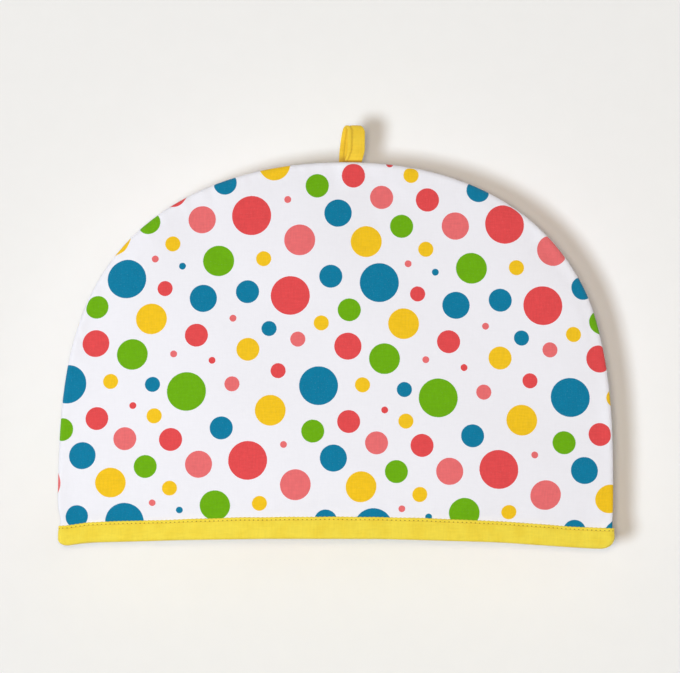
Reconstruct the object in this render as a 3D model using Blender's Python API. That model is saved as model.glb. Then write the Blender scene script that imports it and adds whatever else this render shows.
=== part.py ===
"""Padded tea cosy: two dome-shaped panels sewn along their curved edge, a binding round the open
hem and a hanging loop caught in the top seam. It stands on its hem, open underneath.

Metres, +Z up. X runs across the cosy, the front panel faces -Y, and the origin is under the middle
of the hem, on the surface the cosy stands on.
"""

import math

import bmesh
import bpy

# Driving dimensions of the dome outline: |x / HALF_WIDTH|^SIDE_POWER + (z / HEIGHT)^TOP_POWER = 1.
HALF_WIDTH = 0.1888
HEIGHT = 0.2615
SIDE_POWER = 2.1
TOP_POWER = 3.65
LEAN = 0.0012  # how far the top sits to the right of the middle of the hem

# Padded walls.
RIM_THICKNESS = 0.006  # at the rolled edge along the seam
PANEL_THICKNESS = 0.0095  # away from the seam, where the padding is free to rise
PUFF_POWER = 6.0  # how soon the padding rises inside the seam
HEM_THICKNESS = 0.005  # where the binding squeezes the padding flat
SEAM_HALF_GAP = 0.00015  # half of the gap between the two panels along their seam
BELLY = 0.029  # how far each wall stands off the seam plane at the middle of the hem
BELLY_POWER = 1.25
BELLY_TAPER = 0.35  # share of the belly lost on the way up
SEAM_ALLOWANCE = 0.06  # band next to the outline where the walls lie together, as a share of 1
RIM_BAND = 0.009  # band next to the outline that carries the rolled edge

# Hem binding, one folded strip that holds both walls.
CLOTH = 0.0012
CLEARANCE = 0.0003
BINDING_SIDE_HEIGHT = 0.0152
BINDING_MIDDLE_HEIGHT = 0.0170
BINDING_FOLD_RADIUS = 0.0022
FRONT_LIFT = 0.005  # how far the middle of the front hem bows up off the surface
LIFT_HALF_WIDTH = 0.168
LIFT_POWER = 2.4
LIFT_FADE = 0.070  # height over which the bow of the hem fades out of the wall
PUFF_START = 0.0178  # from here up the padding swells out over the binding
PUFF_END = 0.030

# Hanging loop.
LOOP_WIDTH = 0.0155
LOOP_CENTRE = 0.0088  # from the middle, at its foot
LOOP_LEAN = 0.0020  # how far its top sits to the right of its foot
LOOP_THICKNESS = 0.0014
LOOP_ROOT_HALF = 0.0012
LOOP_TOP = 0.2868
LOOP_EYE_FOOT = 0.2640
LOOP_EYE_HALF = 0.0038
LOOP_EYE_OPENING = 1.3  # how fast the eye opens over its foot: 2 is slowest
LOOP_TAB_FOOT = 0.2535  # lower end of the tab that the seam holds

# Mesh resolution.
SHOULDER_ANGLE = 0.62
TOP_COLUMNS = 28
SIDE_HEIGHTS = (
    0.0015, 0.0095, PUFF_START, 0.0210, 0.0245, PUFF_END,
    0.044, 0.062, 0.081, 0.100, 0.119, 0.138, 0.157, 0.176,
)
RIM_ANGLES = (60, 30, 0, -30, -60)
CORNER_STEPS = 5
EYE_STEPS = 24

FRONT = -1
BACK = 1


def smooth(value):
    value = min(max(value, 0.0), 1.0)
    return value * value * (3 - 2 * value)


def outline_share(x, z):
    """0 at the middle of the hem, 1 on the outline."""
    return abs(x / HALF_WIDTH) ** SIDE_POWER + (max(z, 0.0) / HEIGHT) ** TOP_POWER


def side_point(z):
    """Right-hand outline at height z."""
    return HALF_WIDTH * (1 - (z / HEIGHT) ** TOP_POWER) ** (1 / SIDE_POWER), z


def arch_point(angle):
    """Right-hand outline at an angle from 0 at the hem to a quarter turn at the top."""
    x = HALF_WIDTH * max(math.cos(angle), 0.0) ** (2 / SIDE_POWER)
    return x, HEIGHT * math.sin(angle) ** (2 / TOP_POWER)


def inward(x, z):
    """Unit direction in the XZ plane from the outline towards the middle."""
    along_x = -math.copysign(SIDE_POWER * abs(x) ** (SIDE_POWER - 1) / HALF_WIDTH**SIDE_POWER, x)
    along_z = -TOP_POWER * z ** (TOP_POWER - 1) / HEIGHT**TOP_POWER
    length = math.hypot(along_x, along_z)
    return along_x / length, along_z / length


def belly(x, z):
    """How far the inner face of a wall stands off the seam plane."""
    inside = (1 - outline_share(x, z) - SEAM_ALLOWANCE) / (1 - SEAM_ALLOWANCE)
    return BELLY * max(inside, 0.0) ** BELLY_POWER * (1 - BELLY_TAPER * z / HEIGHT)


def thickness(x, z, height):
    """Thickness of a wall: squeezed in the binding, full above it and thinner towards the seam."""
    risen = 1 - min(outline_share(x, z), 1.0) ** PUFF_POWER
    free = RIM_THICKNESS + (PANEL_THICKNESS - RIM_THICKNESS) * risen
    puff = smooth((height - PUFF_START) / (PUFF_END - PUFF_START))
    return HEM_THICKNESS + (free - HEM_THICKNESS) * puff


def hem_lift(x, side):
    """Height of the underside of the hem over the surface."""
    if side == BACK or abs(x) >= LIFT_HALF_WIDTH:
        return 0.0
    return FRONT_LIFT * (1 - abs(x / LIFT_HALF_WIDTH) ** LIFT_POWER) ** 2


def lean(x, z):
    return x + LEAN * z / HEIGHT


def make_material(name, colour, roughness):
    material = bpy.data.materials.new(name)
    material.use_nodes = True
    shader = material.node_tree.nodes["Principled BSDF"]
    shader.inputs["Base Color"].default_value = (*colour, 1.0)
    shader.inputs["Roughness"].default_value = roughness
    shader.inputs["Metallic"].default_value = 0.0
    return material


def finish_object(name, bm, material):
    """Turn a bmesh into a named object with its faces pointing out."""
    bmesh.ops.remove_doubles(bm, verts=bm.verts, dist=1e-6)
    bmesh.ops.recalc_face_normals(bm, faces=bm.faces)
    mesh = bpy.data.meshes.new(name)
    bm.to_mesh(mesh)
    bm.free()
    mesh.shade_smooth()
    mesh.set_sharp_from_angle(angle=math.radians(50))
    mesh.materials.append(material)
    placed = bpy.data.objects.new(name, mesh)
    bpy.context.scene.collection.objects.link(placed)
    return placed


def strip(bm, first, second, closed=False):
    """Quads between two rows of vertices."""
    count = len(first)
    for i in range(count if closed else count - 1):
        j = (i + 1) % count
        corners = [first[i], first[j], second[j], second[i]]
        corners = [corner for k, corner in enumerate(corners) if corner not in corners[:k]]
        if len(corners) > 2:
            bm.faces.new(corners)


# Panels


def rim_stations():
    """Outline points from the right end of the hem over the top to the left end."""
    quarter = TOP_COLUMNS // 2
    right = [side_point(z) for z in SIDE_HEIGHTS]
    step = (math.pi / 2 - SHOULDER_ANGLE) / quarter
    right += [arch_point(SHOULDER_ANGLE + step * i) for i in range(quarter)]
    return right + [(0.0, HEIGHT)] + [(-x, z) for x, z in reversed(right)]


def panel_point(x, z, height, depth, side):
    """A point of a wall; depth is the distance from the seam plane before the belly is added."""
    lift = hem_lift(x, side) * (1 - smooth(height / LIFT_FADE))
    return lean(x, z), side * (SEAM_HALF_GAP + belly(x, z) + depth), z + lift


def rim_profile(rim_thickness):
    """(distance from the outline, share of the wall's thickness) round the rolled edge.

    It runs from the outer face round the edge to the inner face.
    """
    radius = rim_thickness / 2
    between = (RIM_BAND + radius) / 2
    rows = [(RIM_BAND, 1.0), (between, 1.0), (radius, 1.0)]
    for angle in RIM_ANGLES:
        turn = math.radians(angle)
        rows.append((radius * (1 - math.cos(turn)), (1 + math.sin(turn)) / 2))
    return rows + [(radius, 0.0), (between, 0.0), (RIM_BAND, 0.0)]


def face_grid(stations):
    """(x, z, height over the hem) rows from the hem to the top, filling the inside of the band."""
    inner = [(x + RIM_BAND * inward(x, z)[0], z + RIM_BAND * inward(x, z)[1]) for x, z in stations]
    rows = len(SIDE_HEIGHTS)
    top = inner[rows:rows + TOP_COLUMNS + 1]
    shoulder_x, shoulder_z = top[0]
    grid = []
    for row, (side_x, side_z) in enumerate(inner[:rows] + [top[0]]):
        start = SIDE_HEIGHTS[row] if row < rows else shoulder_z
        arching = smooth((start - PUFF_END) / (shoulder_z - PUFF_END))
        if row == rows:
            arching = 1.0
        line = []
        for column, (top_x, top_z) in enumerate(top):
            across = 1 - 2 * column / TOP_COLUMNS
            x = across * side_x + arching * (top_x - across * shoulder_x)
            z = side_z + arching * (top_z - shoulder_z)
            line.append((x, z, start))
        grid.append(line)
    return grid


def build_panel(name, side, material):
    bm = bmesh.new()
    stations = rim_stations()
    grid = face_grid(stations)
    faces = []
    for outer in (True, False):
        rows = []
        for line in grid:
            row = []
            for x, z, height in line:
                depth = thickness(x, z, height) if outer else 0.0
                row.append(bm.verts.new(panel_point(x, z, height, depth, side)))
            rows.append(row)
        for lower, upper in zip(rows, rows[1:]):
            strip(bm, lower, upper)
        faces.append(rows)

    bands = []
    for x, z in stations:
        in_x, in_z = inward(x, z)
        band = []
        for distance, share in rim_profile(thickness(x, z, z)):
            inner_x, inner_z = x + distance * in_x, z + distance * in_z
            depth = share * thickness(inner_x, inner_z, z)
            band.append(bm.verts.new(panel_point(inner_x, inner_z, z, depth, side)))
        bands.append(band)
    for first, second in zip(bands, bands[1:]):
        strip(bm, first, second)

    # The underside: the two faces along the hem, and the two ends of the rolled edge.
    strip(bm, faces[0][0], faces[1][0])
    for band in (bands[0], bands[-1]):
        half = len(band) // 2
        strip(bm, band[:half + 1], band[:half - 1:-1])
    return finish_object(name, bm, material)


def cut_loop_pocket(panels):
    """The seam opens round the tab of the loop."""
    bm = bmesh.new()
    bmesh.ops.create_cube(bm, size=1.0)
    foot = LOOP_TAB_FOOT - CLEARANCE
    height = LOOP_TOP - foot
    width = LOOP_WIDTH + 2 * CLEARANCE + loop_shift(HEIGHT) - loop_shift(foot)
    for vert in bm.verts:
        vert.co.x = (loop_shift(foot) + loop_shift(HEIGHT)) / 2 + vert.co.x * width
        vert.co.y *= 2 * (LOOP_ROOT_HALF + CLEARANCE)
        vert.co.z = foot + (vert.co.z + 0.5) * height
    mesh = bpy.data.meshes.new("loop_pocket")
    bm.to_mesh(mesh)
    bm.free()
    cutter = bpy.data.objects.new("loop_pocket", mesh)
    bpy.context.scene.collection.objects.link(cutter)
    cutter.hide_render = True
    cutter.display_type = "WIRE"
    for panel in panels:
        cut = panel.modifiers.new("loop pocket", "BOOLEAN")
        cut.operation = "DIFFERENCE"
        cut.object = cutter


# Hem binding


def full_ring(faces, corner):
    """Both walls' (x, y, side) points, from the front half's face and the corner at its left end."""
    half = [(-x, y) for x, y in reversed(corner)] + faces + corner
    return [(x, y, FRONT) for x, y in half] + [(-x, -y, BACK) for x, y in half]


def corner_points(reach, middle, bend, widest):
    """Round the left end of a ring, from the front face towards the seam."""
    turns = [math.radians(widest * step / CORNER_STEPS) for step in range(1, CORNER_STEPS + 1)]
    return [(-reach - bend * math.sin(turn), -middle - bend * math.cos(turn)) for turn in turns]


def outer_ring(offset, height):
    """Round the outside of both walls at a height over the hem, offset outwards."""
    radius = HEM_THICKNESS / 2
    reach = HALF_WIDTH - radius
    face = SEAM_HALF_GAP + HEM_THICKNESS + offset
    corner = corner_points(reach, SEAM_HALF_GAP + radius, radius + offset, 90)
    return full_ring([(x, -face - wall_belly(x, height)) for x in ring_line(reach)], corner)


def inner_ring(offset, height):
    """Round the inside of both walls at a height over the hem, offset into the cosy."""
    reach = inner_reach()
    face = SEAM_HALF_GAP - offset
    corner = corner_points(reach, 0.0, face + wall_belly(reach, height), 80)
    return full_ring([(x, -face - wall_belly(x, height)) for x in ring_line(reach)], corner)


def ring_line(reach):
    """Stations along one wall, from right to left."""
    return [reach * (1 - 2 * column / TOP_COLUMNS) for column in range(TOP_COLUMNS + 1)]


def wall_belly(x, height):
    """Stand-off of a wall at a height over the hem; None is the upper edge of the binding."""
    return belly(x, binding_top(x) if height is None else height)


def inner_reach():
    """Half-length of the inner leg: it turns where the walls leave room for both its layers."""
    room = CLOTH + CLEARANCE + 0.0002
    share = (room / BELLY) ** (1 / BELLY_POWER) * (1 - SEAM_ALLOWANCE) + SEAM_ALLOWANCE
    return HALF_WIDTH * (1 - share) ** (1 / SIDE_POWER)


def binding_top(x):
    """Height of the upper edge of the binding over its underside."""
    middle = smooth(1 - abs(x) / HALF_WIDTH)
    return BINDING_SIDE_HEIGHT + (BINDING_MIDDLE_HEIGHT - BINDING_SIDE_HEIGHT) * middle


def build_binding(material):
    bm = bmesh.new()
    outside = CLEARANCE + CLOTH
    slope = BINDING_FOLD_RADIUS * (1 - math.sqrt(0.5))
    section = [
        (outer_ring, outside, None),
        (outer_ring, outside, BINDING_FOLD_RADIUS),
        (outer_ring, outside - slope, slope),
        (outer_ring, outside - BINDING_FOLD_RADIUS, 0.0),
        (inner_ring, outside - BINDING_FOLD_RADIUS, 0.0),
        (inner_ring, outside - slope, slope),
        (inner_ring, outside, BINDING_FOLD_RADIUS),
        (inner_ring, outside, None),
        (inner_ring, CLEARANCE, None),
        (inner_ring, CLEARANCE, CLOTH),
        (outer_ring, CLEARANCE, CLOTH),
        (outer_ring, CLEARANCE, None),
    ]
    loops = []
    for ring, offset, height in section:
        loop = []
        for x, y, side in ring(offset, height):
            z = hem_lift(x, side) + (binding_top(x) if height is None else height)
            loop.append(bm.verts.new((lean(x, z), y, z)))
        loops.append(loop)
    for first, second in zip(loops, loops[1:] + loops[:1]):
        strip(bm, first, second, closed=True)
    return finish_object("hem_binding", bm, material)


# Hanging loop


def loop_shift(z):
    """Middle of the strap at height z."""
    return LOOP_CENTRE + LOOP_LEAN * (z - HEIGHT) / (LOOP_TOP - HEIGHT)


def eye_profile():
    """(y, z) round the eye of the loop, from its foot over the top and back to its foot."""
    top = LOOP_TOP - LOOP_THICKNESS
    half_height = (top - LOOP_EYE_FOOT) / 2
    points = []
    for step in range(EYE_STEPS + 1):
        turn = 2 * math.pi * step / EYE_STEPS
        rise = 1 - math.cos(turn)
        # A teardrop: a full round top over a slim foot.
        half_width = LOOP_EYE_HALF * math.sin(turn) * smooth(rise / LOOP_EYE_OPENING)
        points.append((-half_width, LOOP_EYE_FOOT + half_height * rise))
    return points


def build_loop(material):
    bm = bmesh.new()
    eye = eye_profile()
    outer = []
    for i, (y, z) in enumerate(eye):
        if i in (0, len(eye) - 1):
            outer.append((-LOOP_ROOT_HALF if i == 0 else LOOP_ROOT_HALF, z))
            continue
        along_y = eye[i + 1][0] - eye[i - 1][0]
        along_z = eye[i + 1][1] - eye[i - 1][1]
        scale = LOOP_THICKNESS / math.hypot(along_y, along_z)
        outer.append((y - along_z * scale, z + along_y * scale))
    tab = [(-LOOP_ROOT_HALF, LOOP_TAB_FOOT), (LOOP_ROOT_HALF, LOOP_TAB_FOOT)]
    sides = []
    for end in (-0.5, 0.5):
        def place(point):
            y, z = point
            return bm.verts.new((loop_shift(z) + end * LOOP_WIDTH, y, z))
        eye_row = [place(point) for point in eye[:-1]]
        eye_row.append(eye_row[0])
        outer_row = [place(point) for point in outer]
        tab_row = [place(point) for point in tab]
        strip(bm, outer_row, eye_row)
        bm.faces.new([outer_row[0], eye_row[0], outer_row[-1], tab_row[1], tab_row[0]])
        sides.append((outer_row + tab_row[::-1], eye_row[:-1]))
    for left, right in zip(*sides):
        strip(bm, left, right, closed=True)
    return finish_object("hanging_loop", bm, material)


def main():
    for leftover in list(bpy.data.objects):
        bpy.data.objects.remove(leftover)
    printed = make_material("printed cotton", (0.86, 0.86, 0.91), 0.85)
    binding = make_material("yellow cotton binding", (0.91, 0.69, 0.06), 0.8)
    strap = make_material("yellow cotton strap", (0.87, 0.62, 0.04), 0.8)
    front = build_panel("front_panel", FRONT, printed)
    back = build_panel("back_panel", BACK, printed)
    cut_loop_pocket((front, back))
    build_binding(binding)
    build_loop(strap)


main()
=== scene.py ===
"""Padded tea cosy in spotted cotton, dressed for display on a plain pale stage.

The cosy is two padded panels sewn along a dome, a folded yellow binding round the open hem and a
strap caught in the top seam. Metres, +Z up, X across, the front panel faces -Y, the hem stands on
z = 0. Each piece has its own operator, and the panel "Tea cosy" in the sidebar lists them.
"""

import math
import random

import bmesh
import bpy
import numpy as np
from bpy.props import FloatProperty, FloatVectorProperty, PointerProperty
from mathutils import Matrix, Vector


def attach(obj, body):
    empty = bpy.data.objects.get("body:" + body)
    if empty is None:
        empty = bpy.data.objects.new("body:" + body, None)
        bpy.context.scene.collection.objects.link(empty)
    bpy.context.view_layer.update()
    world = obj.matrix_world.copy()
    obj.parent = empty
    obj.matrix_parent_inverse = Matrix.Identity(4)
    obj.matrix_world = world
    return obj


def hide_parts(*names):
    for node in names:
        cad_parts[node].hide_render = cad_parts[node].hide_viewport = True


bl_info = {
    "name": "Tea cosy",
    "version": (1, 0, 0),
    "blender": (4, 5, 0),
    "location": "3D View > Sidebar > Tea cosy",
    "description": "Builds a padded tea cosy with a bound hem and a hanging strap",
    "category": "Add Mesh",
}

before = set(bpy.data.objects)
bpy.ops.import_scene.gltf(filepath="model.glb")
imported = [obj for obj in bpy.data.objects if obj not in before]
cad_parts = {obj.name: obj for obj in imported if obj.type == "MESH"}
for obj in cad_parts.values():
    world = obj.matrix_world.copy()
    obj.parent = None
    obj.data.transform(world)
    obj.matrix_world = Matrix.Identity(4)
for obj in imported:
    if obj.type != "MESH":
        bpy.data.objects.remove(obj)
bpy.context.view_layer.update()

FRONT, BACK = -1, 1
MM = 0.001

# Columns over the top of a panel, rows up its sides, and steps round its rolled edge.
TOP_COLUMNS = 160
SIDE_ROWS = 84
SHOULDER_ANGLE = 0.62
RIM_TURNS = (75, 60, 45, 30, 15, 0, -15, -30, -45, -60, -75)
LINE_STEPS = 620
CORNER_STEPS = 14

# What a face of a panel is. The first two are also its material slots.
PRINTED, PLAIN, UNDER = 0, 1, 2

# How far the hem bows up off the surface, (across, up) in millimetres from its middle.
HEM_BOW = (
    (-190, 0.0), (-179, 0.2), (-175, 2.0), (-142, 2.9), (-105, 4.2), (-50, 5.3), (0, 5.6),
    (33, 5.7), (74, 4.8), (110, 4.0), (136, 2.4), (156, 1.2), (174, 0.2), (190, 0.0),
)

# Relief of the padded cloth, as (wavelength, share of the height, how many) of seeded waves.
BROAD_RIPPLES = ((0.105, 1.0, 4), (0.050, 0.35, 5))
GATHERS = ((0.021, 1.0, 2), (0.012, 0.6, 2), (0.0075, 0.3, 2))
PUCKERS = ((0.019, 1.0, 2), (0.0115, 0.8, 3), (0.007, 0.4, 2))

# Unevenness of the tape's upper edge and of its face, as (wavelength, height, how many).
TAPE_EDGE = ((0.083, 0.00010, 3), (0.037, 0.00007, 3))
TAPE_FACE = ((0.046, 0.00016, 3), (0.023, 0.00009, 3), (0.012, 0.00004, 2))

# How the outer cloth behaves when it is let go over its padding.
SETTLING_STEPS = 20
CLOTH = {
    "quality": 5, "mass": 0.15, "tension_stiffness": 15, "compression_stiffness": 15,
    "shear_stiffness": 5, "bending_stiffness": 1.5, "tension_damping": 8,
    "compression_damping": 8, "shear_damping": 8, "air_damping": 3,
    "vertex_group_mass": "held", "vertex_group_shrink": "larger", "use_pressure": True,
}

# Real threads lie about 0.4 mm apart. The weave is drawn at twice that and its slubs at 1 to
# 3 mm, so that they still show in the whole view.
WEAVE_PITCH = 0.84 * MM
WEAVE_HEIGHT = 0.05 * MM

# How far the ink bleeds along the threads, and where it starts and is full inside a spot's edge.
INK_BLEED = 0.24 * MM
INK_EDGE = (0.02 * MM, 0.22 * MM)

# The yellow cotton in linear colours: how a blotch deepens it, and the painted shade in a needle
# hole and at a pulled edge, in a stitched crease, and where the cloth runs into a seam.
DEEPER = (0.93, 0.86, 0.55)
STITCH_SHADE = (0.26, 0.14, 0.012, 1.0)
CREASE_SHADE = (0.30, 0.19, 0.02, 1.0)
SEAM_SHADE = (0.30, 0.12, 0.012, 1.0)

# Over which half width and height the shifts of the print are stated, and about which point.
PRINT_REACH = (0.19, 0.263)
PRINT_MIDDLE = (0.002, 0.143)
FACE_MIDDLE = (0.002, 0.144)

# How much of each end of the strap lies in the seam, and its distance from stitch to stitch.
SEAM_TAB = 0.0083
STRAP_STITCH = 2.8 * MM

# Spot diameters of the print, in millimetres.
SPOT_SIZES = {"XL": 26.5, "L": 21.0, "M+": 18.5, "M": 15.7, "S": 10.3, "XS": 4.7}

# One repeat of the print, charted: ink, size, and the middle of the spot in millimetres
# from the middle of the hem.
SPOTS = (
    ("red", "XL", -58.0, 222.0), ("pink", "M+", -91.5, 220.0), ("pink", "L", -25.5, 205.0),
    ("blue", "M+", 0.5, 223.0), ("yellow", "L", 19.5, 203.5), ("green", "M", 43.5, 214.0),
    ("pink", "M", 30.0, 233.5), ("red", "M", 61.0, 232.0), ("red", "M", 11.0, 248.0),
    ("green", "M", -13.5, 241.5), ("yellow", "L", -46.0, 88.5), ("blue", "M", -79.5, 77.0),
    ("yellow", "S", 50.0, 248.5), ("red", "XS", 32.0, 88.5), ("pink", "XS", -33.5, 232.5),
    ("yellow", "S", -111.5, 204.0), ("yellow", "S", -50.0, 192.5), ("green", "L", -80.5, 191.5),
    ("pink", "XS", -123.5, 194.0), ("blue", "XS", -105.0, 188.5), ("blue", "XL", -143.0, 181.0),
    ("blue", "M", -4.5, 180.0), ("red", "S", -117.0, 173.5), ("blue", "M+", -91.0, 166.0),
    ("blue", "M", -61.0, 170.0), ("red", "XL", -32.0, 167.0), ("green", "M", 8.0, 157.0),
    ("yellow", "L", -126.5, 153.0), ("pink", "XS", -71.0, 152.0), ("yellow", "S", -11.0, 148.0),
    ("blue", "S", -46.5, 144.5), ("red", "M", -96.0, 141.0), ("pink", "S", -27.0, 137.0),
    ("red", "M+", 7.0, 132.0), ("yellow", "M", -61.0, 130.5), ("green", "L", -139.5, 129.0),
    ("pink", "XS", -111.5, 128.5), ("red", "XS", -85.5, 123.5), ("red", "S", -40.5, 115.5),
    ("blue", "XL", -13.0, 105.0), ("yellow", "S", -154.5, 111.0), ("blue", "S", -126.0, 108.0),
    ("green", "XL", -103.0, 102.5), ("pink", "S", -72.0, 107.0),
)


def linear(code):
    """An sRGB hex colour as linear red, green and blue."""
    found = []
    for start in (1, 3, 5):
        value = int(code[start:start + 2], 16) / 255
        found.append(value / 12.92 if value <= 0.04045 else ((value + 0.055) / 1.055) ** 2.4)
    return tuple(found)


def size_prop(name, description, default):
    return FloatProperty(name=name, description=description, default=default, unit="LENGTH",
                         subtype="DISTANCE", precision=5)


def ratio_prop(name, description, default):
    return FloatProperty(name=name, description=description, default=default, precision=4)


def colour_prop(name, description, code):
    return FloatVectorProperty(name=name, description=description, default=linear(code),
                               subtype="COLOR", size=3, min=0.0, max=1.0)


class CosyShape(bpy.types.PropertyGroup):
    """The dome and its padded walls."""

    half_width: size_prop("Half width", "Half of the width at the hem", 0.1888)
    height: size_prop("Height", "Height of the dome without the strap", 0.2635)
    side_power: ratio_prop("Side power", "Fullness of the outline's sides", 2.1)
    top_power: ratio_prop("Top power", "Flatness of the outline's top", 3.65)
    lean: size_prop("Lean", "How far the top sits to the right of the hem's middle", 0.0010)
    shoulder: ratio_prop("Shoulder", "How much fuller the right shoulder is than the left", 0.014)
    bulge: size_prop("Bulge", "How far the right side stands out below its shoulder", 0.0012)
    bulge_height: size_prop("Bulge height", "Height of the middle of that bulge", 0.174)
    bulge_reach: size_prop("Bulge reach", "How far the bulge reaches up and down", 0.022)
    side_swell: size_prop("Side swell", "How far the padding stands out beside the binding", 0.0012)
    side_shift: size_prop("Side shift", "How far the padding sits left of the binding", 0.0008)
    rim_thickness: size_prop("Edge thickness", "Wall thickness at the rolled edge", 0.006)
    wall_thickness: size_prop("Wall thickness", "Wall thickness away from the seam", 0.0095)
    puff_power: ratio_prop("Puff power", "How soon the padding rises inside the seam", 6.0)
    hem_thickness: size_prop("Hem thickness", "Wall thickness inside the binding", 0.005)
    seam_gap: size_prop("Seam gap", "Half of the gap between the panels at the seam", 0.00008)
    belly: size_prop("Belly", "Stand-off of each wall at the middle of the hem", 0.029)
    belly_power: ratio_prop("Belly power", "How the stand-off grows from the seam", 1.25)
    belly_taper: ratio_prop("Belly taper", "Share of the stand-off lost on the way up", 0.35)
    seam_allowance: ratio_prop("Seam allowance", "Band where the walls lie together", 0.06)
    rim_band: size_prop("Edge band", "Width of the band that carries the rolled edge", 0.009)
    puff_start: size_prop("Puff start", "Height at which the padding swells out", 0.0166)
    puff_end: size_prop("Puff end", "Height at which the padding is full", 0.056)
    swell_rise: size_prop("Swell rise", "Height over which the outline moves out", 0.0134)
    front_bow: ratio_prop("Front hem bow", "Share of the charted bow on the front hem", 1.0)
    back_bow: ratio_prop("Back hem bow", "Share of the charted bow on the back hem", 1.05)
    left_corner: size_prop("Left corner", "Rounding of the hem's left end", 0.0050)
    right_corner: size_prop("Right corner", "Rounding of the hem's right end", 0.0085)
    lift_fade: size_prop("Bow fade", "Height over which the bow fades out of the wall", 0.070)
    ripple: size_prop("Ripple", "Height of the broad ripples in the padded cloth", 0.00060)
    gather: size_prop("Gathers", "Height of the small gathers over the binding", 0.00020)
    pucker: size_prop("Puckers", "Height of the small puckers along the seam", 0.00020)
    hem_ease: ratio_prop("Hem ease", "How much larger than its padding cloth is by the hem", 0.0110)
    seam_ease: ratio_prop("Seam ease", "How much larger the cloth is beside the seam", 0.0180)
    ease: ratio_prop("Ease", "How much larger the cloth is everywhere else", 0.0030)
    pressure: ratio_prop("Pressure", "How hard the padding pushes the cloth out", 2.6)
    hold: ratio_prop("Hold", "How firmly the padding keeps the cloth in its place", 0.03)
    most_moved: size_prop("Most moved", "Cap on how far the cloth moves in the simulation", 0.0018)


class CosyPrint(bpy.types.PropertyGroup):
    """The spotted print and where it lies on the panels."""

    across: FloatVectorProperty(name="Repeat across", description="Step to the next repeat",
                                default=(0.1714, -0.0054), size=2, precision=5)
    down: FloatVectorProperty(name="Repeat down", description="Step to the repeat below",
                              default=(-0.0036, -0.1675), size=2, precision=5)
    bow: size_prop("Bow", "How far the print bows up in the middle", 0.0033)
    turn: FloatProperty(name="Turn", description="How far the cloth was cut off its grain",
                        default=math.radians(0.35), subtype="ANGLE")
    spread: size_prop("Spread", "How far the print widens from the hem to the top", 0.0025)
    climb: size_prop("Climb", "How far the print stretches up to the top", 0.0006)
    top_climb: size_prop("Top climb", "How far it climbs besides, just under the top", 0.0020)
    shift: size_prop("Shift", "How far the print lies to the right of its chart", 0.0005)
    sway: size_prop("Sway", "How far the print leans to the left on its way up", 0.0007)
    twist: size_prop("Twist", "How far the print climbs at the right of the top", 0.0009)
    take_up: size_prop("Take-up", "Cloth drawn down into the binding", 0.0004)
    drag: size_prop("Drag", "How far the binding drew the print to the left", 0.0005)
    drag_spread: ratio_prop("Drag spread", "How that grows to the right, per metre", 0.0070)
    side_rise: size_prop("Side rise", "How far the print climbs at the ends of the binding", 0.0016)
    rise: size_prop("Rise", "How far the print lies above its chart", 0.0011)
    give: ratio_prop("Give", "How the print closes up where the wall stands off, per metre", 0.1667)
    edge_band: size_prop("Edge band", "Band along the seam in which the cloth turns away", 0.016)
    edge_turn: size_prop("Edge turn", "Cloth taken up by that band at the seam", 0.0010)
    back_shift: FloatVectorProperty(name="Back shift", description="Where the back was cut",
                                    default=(0.061, 0.023), size=2, precision=4)
    cloth: colour_prop("Cloth", "Bleached cotton", "#EDEDF7")
    lining: colour_prop("Inside cloth", "Unprinted cotton inside", "#ECEAE4")
    red: colour_prop("Red", "Red ink", "#DF4A4E")
    pink: colour_prop("Pink", "Pink ink", "#E56D71")
    blue: colour_prop("Blue", "Teal blue ink", "#0479A1")
    green: colour_prop("Green", "Green ink", "#6AAC09")
    yellow: colour_prop("Yellow", "Yellow ink", "#EFC21E")


class CosyBinding(bpy.types.PropertyGroup):
    """The folded binding round the hem and its topstitching."""

    cloth: size_prop("Thickness", "Thickness of the folded tape", 0.0012)
    clearance: size_prop("Clearance", "Gap between the tape and the wall", 0.0003)
    side_height: size_prop("Height at the sides", "Height of the tape at the seams", 0.0140)
    middle_height: size_prop("Height in the middle", "Height of the tape in the middle", 0.0151)
    fold_radius: size_prop("Fold radius", "Radius of the fold along the hem", 0.0022)
    stitch_pitch: size_prop("Stitch pitch", "Distance from stitch to stitch", 0.00303)
    stitch_inset: size_prop("Stitch inset", "Distance of the stitching from the edge", 0.0023)
    thread: size_prop("Thread", "Diameter of the sewing thread", 0.00036)
    pull: size_prop("Pull", "How deep the stitching draws the tape in", 0.00026)
    crown: size_prop("Crown", "How far the tape stands out between its edges", 0.00022)
    peak: size_prop("Peak", "How far the edge is drawn up over each needle hole", 0.00014)
    colour: colour_prop("Tape", "Yellow cotton", "#EFD845")
    thread_colour: colour_prop("Sewing thread", "Yellow polyester thread", "#E3B92F")


class CosyStrap(bpy.types.PropertyGroup):
    """The hanging strap."""

    width: size_prop("Width", "Width of the strap", 0.0118)
    thickness: size_prop("Thickness", "Thickness of the strap", 0.0014)
    top: size_prop("Top", "Height of the top of the loop", 0.2890)
    eye_foot: size_prop("Eye foot", "Height at which the loop opens", 0.2655)
    eye_half: size_prop("Eye", "Half of the opening's width", 0.0038)
    tab_foot: size_prop("Tab foot", "Lower end of the legs in the seam", 0.2560)
    front_x: size_prop("Front leg", "Middle of the front leg at the seam", 0.0099)
    top_x: size_prop("Top of the loop", "Middle of the front of the loop at its top", 0.0121)
    over_x: size_prop("Back of the loop", "Middle of the back of the loop at its top", 0.0085)
    back_x: size_prop("Back leg", "Middle of the back leg at the seam", 0.0062)
    stitch_at: ratio_prop("Stitch line", "Place of the edge stitching across the strap", -0.46)
    colour: colour_prop("Strap", "Yellow cotton", "#EDC939")


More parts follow.
